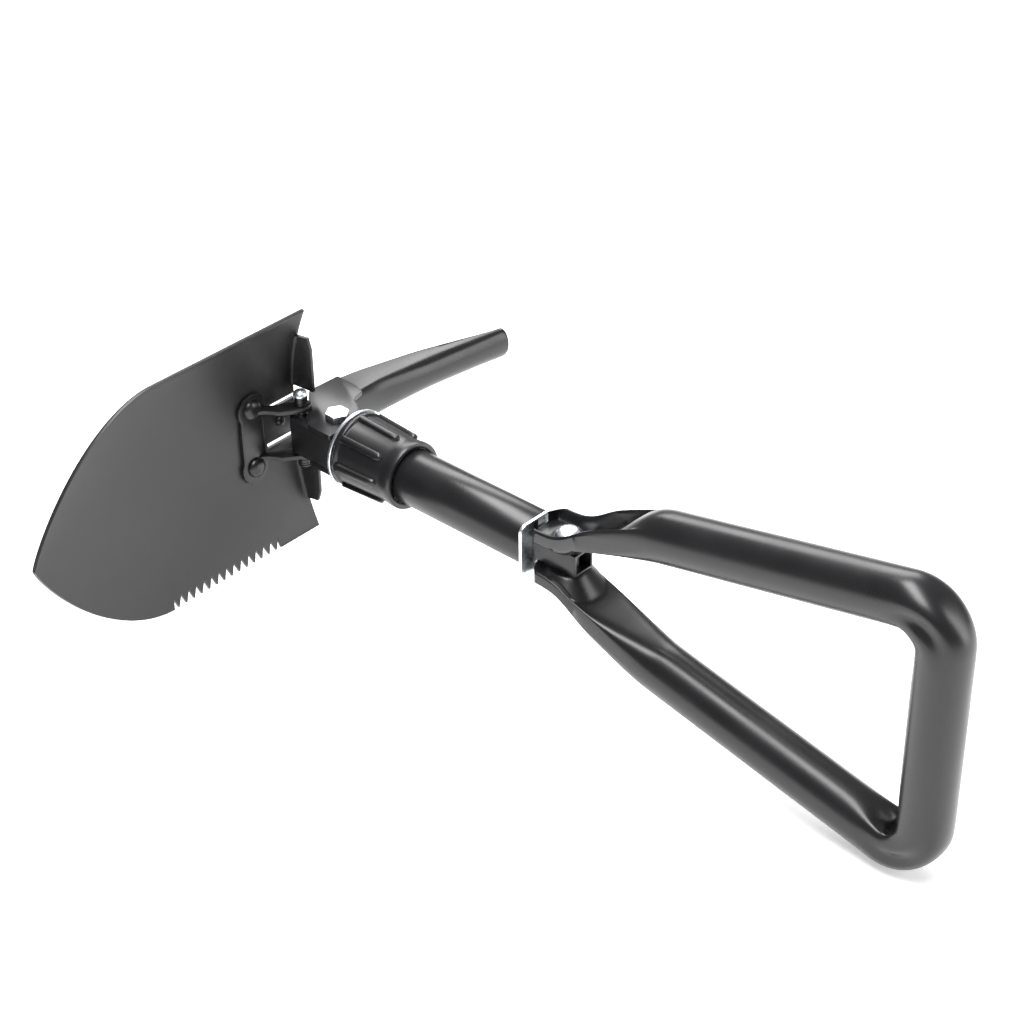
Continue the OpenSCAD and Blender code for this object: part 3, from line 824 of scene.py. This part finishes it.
ARM_Z = 31.3
ARM_X = 184.0
ARM_SLOPE = 0.214
GRIP_X = 299.3
BEND_R = 13.0
LEG_END = 118.3
PLATE_CLEAR = 13.5
SHEET = 1.6
WEB_DEPTH = [(118, 2.4), (133, 2.3), (140, 0.8), (149, 1.5), (162, 3.2), (176, 6.2), (190, 10.4)]
ARM_ANGLE = math.atan(ARM_SLOPE)
BEND_C = (GRIP_X - BEND_R,
          ARM_Z + ARM_SLOPE * (GRIP_X - ARM_X) - BEND_R * math.tan((math.pi / 2 + ARM_ANGLE) / 2))


def leg_line(x):
    return mix(9.0, ARM_Z + ARM_SLOPE * (x - ARM_X), smooth((x - 122) / 58))


def handle_path():
    """Stations of the upper half: (x, z, direction, distance from the middle of the bend)."""
    stations = []
    for x in span(LEG_END, 178, 78):
        slope = math.atan(leg_line(x + 0.5) - leg_line(x - 0.5))
        stations.append([x, leg_line(x), slope])
    first = (BEND_C[0] + BEND_R * math.cos(math.pi / 2 + ARM_ANGLE),
             BEND_C[1] + BEND_R * math.sin(math.pi / 2 + ARM_ANGLE))
    for x in span(181, 262, 27) + span(263, first[0], 18)[:-1]:
        stations.append([x, leg_line(x), ARM_ANGLE])
    for a in span(math.pi / 2 + ARM_ANGLE, 0, 28):
        stations.append([BEND_C[0] + BEND_R * math.cos(a), BEND_C[1] + BEND_R * math.sin(a), a - math.pi / 2])
    for z in span(BEND_C[1], BEND_C[1] - 22, 14)[1:] + span(BEND_C[1] - 22, 0, 6)[1:]:
        stations.append([GRIP_X, z, -math.pi / 2])
    run = [0.0]
    for p, q in zip(stations, stations[1:]):
        run.append(run[-1] + math.hypot(q[0] - p[0], q[1] - p[1]))
    turn = (math.pi / 2 + ARM_ANGLE) * BEND_R / 2
    half = next(r for r, s in zip(run, stations) if s[0] >= first[0] - 1e-6) + turn
    return [(x, z, slope, r - half) for (x, z, slope), r in zip(stations, run)]


def handle_section(a, x, from_bend, dent, crease):
    """One point of the tube's section: across it, and out from its centre line."""
    c, s = math.cos(a), math.sin(a)
    top_round = smooth((x - 142) / 40)
    under_round = smooth((x - 146) / 40)
    rim = 3.5 + 4 * smooth((x - 130) / 24)
    square = math.copysign(abs(c) ** 0.45, c)
    wide = GRIP_R * mix(square, c, min(top_round, under_round))
    web = eased(WEB_DEPTH, x, 3.0)
    if s >= -1e-9:
        floor = SHEET - web
        wall = smooth((abs(wide) - GRIP_R + 3.4) / 2.0)
        rolled = 0.9 * smooth((abs(wide) - GRIP_R + 0.8) / 0.8)
        out = mix(floor + (rim - floor) * wall - rolled, GRIP_R * s, top_round)
    else:
        out = mix(-web * abs(s) ** 0.25, GRIP_R * s, under_round)
    near = math.exp(-((from_bend / 13.5) ** 2))
    tight = math.exp(-((from_bend / 9.0) ** 2))
    if s < 0:
        hollow = math.exp(-((wide / 6.2) ** 4))
        lip = math.exp(-(((abs(wide) - 8.4) / 2.2) ** 2))
        out += near * (dent * hollow * -s - 1.2 * lip)
    else:
        out -= tight * 1.6 * math.exp(-((wide / 6.5) ** 2))
    flank = math.exp(-(((out - 1.5 - 0.25 * from_bend) / 3.0) ** 2))
    wide -= math.copysign(crease * tight * flank, wide) * min(1.0, abs(wide) / 5)
    wide += math.copysign(0.9 * near * (1 - flank), wide) * abs(c) ** 2
    return wide, out


class SHOVEL_OT_handle(bpy.types.Operator):
    """D-handle bent from one tube, its ends pressed into troughs that the rivet holds"""

    bl_idname = "shovel.handle"
    bl_label = "D-handle"

    def execute(self, context):
        sizes = context.scene.shovel_handle
        black, zinc = finish_of("satin_black"), finish_of("zinc_plate")
        sides = 72
        upper = handle_path()
        points = []
        for half, stations in ((1, upper), (-1, upper[-2::-1])):
            for x, z, slope, from_bend in stations:
                for j in range(sides):
                    a = 2 * math.pi * j / sides
                    wide, out = handle_section(a, x, from_bend, sizes.dent, sizes.crease)
                    px, pz = x - out * math.sin(slope), z + out * math.cos(slope)
                    wide = self.round_end(px, wide)
                    pz = self.pressed_seat(px, wide, pz, math.sin(a) < 0)
                    points.append((px, wide, half * pz))
        rings = 2 * len(upper) - 1
        piece = shell("d_handle", points, ring_faces(rings, sides), black, ridge=60)
        stand_for(piece, "handle", "black_paint", "handle")
        head = [(0, 0), (0, 3.0), (7.62, 3.0), (7.64, 5.2), (8.6, 5.5)]
        head += [(9.3 + h, r) for h, r in dome(3.1, 5.5)]
        rivet = turned("handle_rivet_heads", head, (0, 0, 0), "Z", zinc, sides=56)
        repeated(rivet, 2, (RIVET_X, 0, 0), (0, 0, 0), math.pi)
        stand_for(rivet, "root", "zinc", "handle_rivet")
        return {"FINISHED"}

    @staticmethod
    def round_end(x, wide):
        """The leg's end is round in plan, so that it swings past the rear plate."""
        back = RIVET_X - x
        if back > 0 and math.hypot(back, wide) > PLATE_CLEAR:
            wide = math.copysign(min(abs(wide), math.sqrt(max(1.0, PLATE_CLEAR**2 - back**2))), wide)
        return wide

    @staticmethod
    def pressed_seat(x, wide, z, inner):
        """The web round the rivet is pressed in as a cone until it meets the core."""
        reach = math.hypot(x - RIVET_X, wide)
        if inner:
            pressed = abs(wide) < 9.4 and reach < 18
            return min(z, 5.02 + 1.04 * max(0.0, reach - 7.8)) if pressed else z
        if abs(wide) < 7.4 and reach < 14:
            return min(z, 7.6 + 1.04 * max(0.0, reach - 6.6))
        return z


# ---- stage ----


class SHOVEL_OT_stage(bpy.types.Operator):
    """Pale floor, soft studio light and the camera"""

    bl_idname = "shovel.stage"
    bl_label = "Stage"

    def execute(self, context):
        self.camera()
        self.floor()
        self.lights()
        return {"FINISHED"}

    @staticmethod
    def camera():
        turn, height, roll = (math.radians(a) for a in (42.835, 34.055, -0.888))
        back = Vector((math.sin(turn) * math.cos(height), -math.cos(turn) * math.cos(height),
                       math.sin(height)))
        right = Vector((math.cos(turn), math.sin(turn), 0))
        up = back.cross(right)
        rolled_right = right * math.cos(roll) + up * math.sin(roll)
        rolled_up = up * math.cos(roll) - right * math.sin(roll)
        camera = bpy.data.objects.new("camera", bpy.data.cameras.new("camera"))
        bpy.context.scene.collection.objects.link(camera)
        stand = Matrix((rolled_right, rolled_up, back)).transposed().to_4x4()
        stand.translation = place(616.155, -555.699, 519.354)
        camera.matrix_world = stand
        camera.data.sensor_width = 36
        camera.data.lens = 82.59
        camera.data.clip_start = 0.01
        bpy.context.scene.camera = camera

    @staticmethod
    def floor():
        mesh = bpy.data.meshes.new("floor")
        size = 6.0
        mesh.from_pydata([(-size, -size, 0), (size, -size, 0), (size, size, 0), (-size, size, 0)], [],
                         [(0, 1, 2, 3)])
        floor = bpy.data.objects.new("floor", mesh)
        bpy.context.scene.collection.objects.link(floor)
        n = Nodes("floor")
        n.shader.inputs["Base Color"].default_value = (*bpy.context.scene.shovel_finish.floor, 1)
        n.shader.inputs["Roughness"].default_value = 0.9
        n.shader.inputs["Specular IOR Level"].default_value = 0.1
        n.shader.inputs["Emission Color"].default_value = (1, 1, 1, 1)
        n.shader.inputs["Emission Strength"].default_value = 0.45
        mesh.materials.append(n.material)

    @staticmethod
    def lights():
        scene = bpy.context.scene
        world = bpy.data.worlds.new("studio")
        scene.world = world
        world.use_nodes = True
        background = world.node_tree.nodes["Background"]
        background.inputs["Color"].default_value = (1, 1, 1, 1)
        background.inputs["Strength"].default_value = 0.3
        scene.view_settings.view_transform = "Standard"
        boxes = [
            # name, place and aim in metres, width and height in metres, watts
            ("back box", (-0.85, 0.95, 0.95), (0.05, 0, 0.05), (1.1, 0.6), 14),
            ("top box", (-0.1, -0.15, 1.5), (0.05, 0, 0.05), (1.6, 0.6), 42),
            ("right box", (1.3, 0.9, 0.6), (0.1, 0, 0.05), (0.5, 1.3), 12),
        ]
        for name, where, aim, size, power in boxes:
            light = bpy.data.objects.new(name, bpy.data.lights.new(name, "AREA"))
            scene.collection.objects.link(light)
            light.data.shape = "RECTANGLE"
            light.data.size, light.data.size_y = size
            light.data.energy = power
            light.location = where
            light.rotation_euler = (Vector(where) - Vector(aim)).to_track_quat("Z", "Y").to_euler()


# ---- add-on ----

OPERATORS = (SHOVEL_OT_stage, SHOVEL_OT_blade, SHOVEL_OT_bracket, SHOVEL_OT_rivets, SHOVEL_OT_pick,
             SHOVEL_OT_head, SHOVEL_OT_collar, SHOVEL_OT_shaft, SHOVEL_OT_handle)


class SHOVEL_PT_panel(bpy.types.Panel):
    """Lists the steps that build the shovel"""

    bl_label = "Folding camp shovel"
    bl_idname = "SHOVEL_PT_panel"
    bl_space_type = "VIEW_3D"
    bl_region_type = "UI"
    bl_category = "Shovel"

    def draw(self, context):
        for group in ("shovel_handle", "shovel_blade", "shovel_collar", "shovel_finish"):
            settings = getattr(context.scene, group)
            for name in settings.bl_rna.properties.keys():
                if name not in ("rna_type", "name"):
                    self.layout.prop(settings, name)
        for operator in OPERATORS:
            self.layout.operator(operator.bl_idname)


GROUPS = {"shovel_handle": SHOVEL_PG_handle, "shovel_blade": SHOVEL_PG_blade,
          "shovel_collar": SHOVEL_PG_collar, "shovel_finish": SHOVEL_PG_finish}


def register():
    for group in GROUPS.values():
        bpy.utils.register_class(group)
    for name, group in GROUPS.items():
        setattr(bpy.types.Scene, name, bpy.props.PointerProperty(type=group))
    for kind in OPERATORS + (SHOVEL_PT_panel,):
        bpy.utils.register_class(kind)


def unregister():
    for kind in reversed(OPERATORS + (SHOVEL_PT_panel,)):
        bpy.utils.unregister_class(kind)
    for name in GROUPS:
        delattr(bpy.types.Scene, name)
    for group in GROUPS.values():
        bpy.utils.unregister_class(group)


def main():
    register()
    for operator in OPERATORS:
        group, name = operator.bl_idname.split(".")
        getattr(getattr(bpy.ops, group), name)()
    bpy.context.view_layer.update()


if __name__ == "__main__":
    main()
